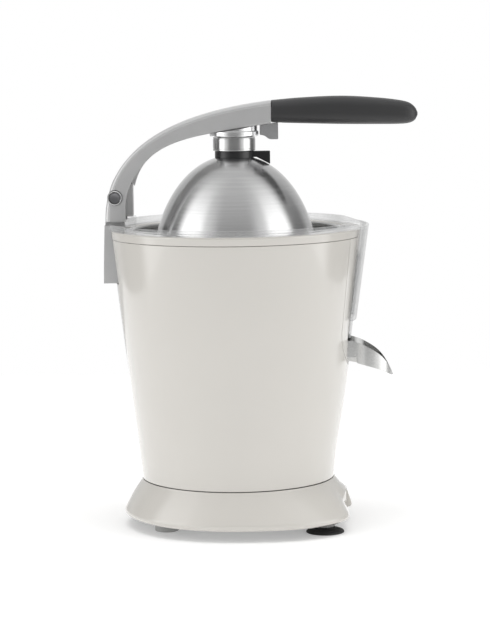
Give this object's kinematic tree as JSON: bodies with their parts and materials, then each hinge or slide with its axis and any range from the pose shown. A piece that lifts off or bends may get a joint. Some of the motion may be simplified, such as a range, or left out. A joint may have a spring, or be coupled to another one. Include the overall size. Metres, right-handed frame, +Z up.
{
  "type": "citrus press juicer",
  "caption": "Lever-operated electric citrus press: tapered body, hinged arm with steel dome, fluted reaming cone, clear splash guard and tilting drip-stop spout.",
  "frame": {"origin": "on the floor under the middle of the bounding box; the axis of the round body stands 19.15 mm towards -X of it", "axes": "+Z up; +X towards the spout and the grip; +Y to the machine's left side when the spout is seen from the front"},
  "size_m": [0.2358, 0.191, 0.3218],
  "materials": {
    "ivory_gloss": "glossy warm ivory moulding",
    "cast_aluminium": "satin cast aluminium",
    "brushed_steel": "spun and brushed stainless steel",
    "clear_plastic": "clear moulded plastic",
    "black_plastic": "black moulding",
    "suction_rubber": "soft black rubber",
    "grip_rubber": "matte charcoal soft-touch grip",
    "grey_plastic": "grey moulding",
    "gear_nylon": "natural nylon",
    "sintered_bronze": "oil-filled sintered bronze",
    "machine_steel": "plain turned steel",
    "motor_copper": "wound copper on laminated core"
  },
  "bodies": {
    "base": {"base_skirt": "ivory_gloss", "base_plate": "grey_plastic", "base_screw_1": "machine_steel", "base_screw_2": "machine_steel", "base_screw_3": "machine_steel", "base_screw_4": "machine_steel", "rear_foot_near": "grey_plastic", "rear_foot_far": "grey_plastic", "suction_cup_near": "suction_rubber", "suction_cup_far": "suction_rubber", "suction_stem_near": "grey_plastic", "suction_stem_far": "grey_plastic", "cord_inlet": "black_plastic", "housing": "ivory_gloss", "top_band": "ivory_gloss", "front_panel": "ivory_gloss", "drive_deck": "grey_plastic", "juice_bowl": "brushed_steel", "juice_chute": "clear_plastic", "chute_seal": "suction_rubber", "guard_clip": "clear_plastic", "spout_pin": "machine_steel", "strainer": "brushed_steel", "upper_bush": "sintered_bronze", "lower_bush": "sintered_bronze", "shaft_seal": "suction_rubber", "return_spring": "machine_steel", "idler_axle": "machine_steel", "gearbox_base": "grey_plastic", "gearbox_cover": "grey_plastic", "start_switch": "black_plastic", "motor_can": "machine_steel", "hinge_column": "cast_aluminium", "column_screw_near": "machine_steel", "column_screw_far": "machine_steel", "hinge_pin": "machine_steel"},
    "guard": {"splash_guard": "clear_plastic"},
    "spout": {"spout": "brushed_steel"},
    "press": {"thrust_collar": "machine_steel"},
    "spindle": {"reamer_cone": "black_plastic", "drive_shaft": "machine_steel", "output_gear": "gear_nylon"},
    "idler": {"idler_gear": "gear_nylon"},
    "rotor": {"motor_armature": "motor_copper", "motor_shaft": "machine_steel", "motor_pinion": "sintered_bronze"},
    "lever": {"arm": "cast_aluminium", "arm_boss": "cast_aluminium", "steel_collar": "brushed_steel", "grip": "grip_rubber", "pin_ring_near": "brushed_steel", "pin_ring_far": "brushed_steel", "trigger_pin": "machine_steel"},
    "dome": {"press_dome": "brushed_steel", "dome_collar": "black_plastic"},
    "trigger": {"trigger": "grey_plastic"},
    "rocker": {"power_rocker": "ivory_gloss"}
  },
  "joints": [
    {"name": "guard_lift", "type": "slide", "parent": "base", "child": "guard", "axis": [0.1373, 0, 0.9905], "range_m": [0, 0.035]},
    {"name": "spout_tilt", "type": "hinge", "parent": "base", "child": "spout", "pos_m": [0.05735, 0, 0.133], "axis": [0, -1, 0], "range_deg": [0, 25]},
    {"name": "spindle_press", "type": "slide", "parent": "base", "child": "press", "axis": [0, 0, -1], "range_m": [0, 0.002], "stiffness_N_per_m": 2000, "springref_m": -0.004, "deforming": ["return_spring"]},
    {"name": "spindle_spin", "type": "hinge", "parent": "press", "child": "spindle", "pos_m": [-0.01915, 0, 0.2], "axis": [0, 0, 1], "continuous": true},
    {"name": "idler_spin", "type": "hinge", "parent": "base", "child": "idler", "pos_m": [-0.05415, 0, 0.13], "axis": [0, 0, 1], "continuous": true},
    {"name": "motor_spin", "type": "hinge", "parent": "base", "child": "rotor", "pos_m": [-0.02596, -0.01026, 0.08], "axis": [0, 0, 1], "continuous": true},
    {"name": "arm_lift", "type": "hinge", "parent": "base", "child": "lever", "pos_m": [-0.10865, 0, 0.2484], "axis": [0, -1, 0], "range_deg": [0, 80]},
    {"name": "dome_twist", "type": "hinge", "parent": "lever", "child": "dome", "pos_m": [-0.01915, 0, 0.278], "axis": [0, 0, 1], "range_deg": [0, 30]},
    {"name": "trigger_pull", "type": "hinge", "parent": "lever", "child": "trigger", "pos_m": [0.00375, 0, 0.306], "axis": [0, -1, 0], "range_deg": [0, 6], "stiffness_Nm_per_rad": 0.05, "springref_deg": -11.46},
    {"name": "power_switch", "type": "hinge", "parent": "base", "child": "rocker", "pos_m": [0.06135, 0, 0.018], "axis": [0, 1, 0], "range_deg": [0, 8]}
  ],
  "couplings": [
    {"joint": "idler_spin", "follows": "spindle_spin", "ratio": -3},
    {"joint": "motor_spin", "follows": "spindle_spin", "ratio": 12}
  ]
}
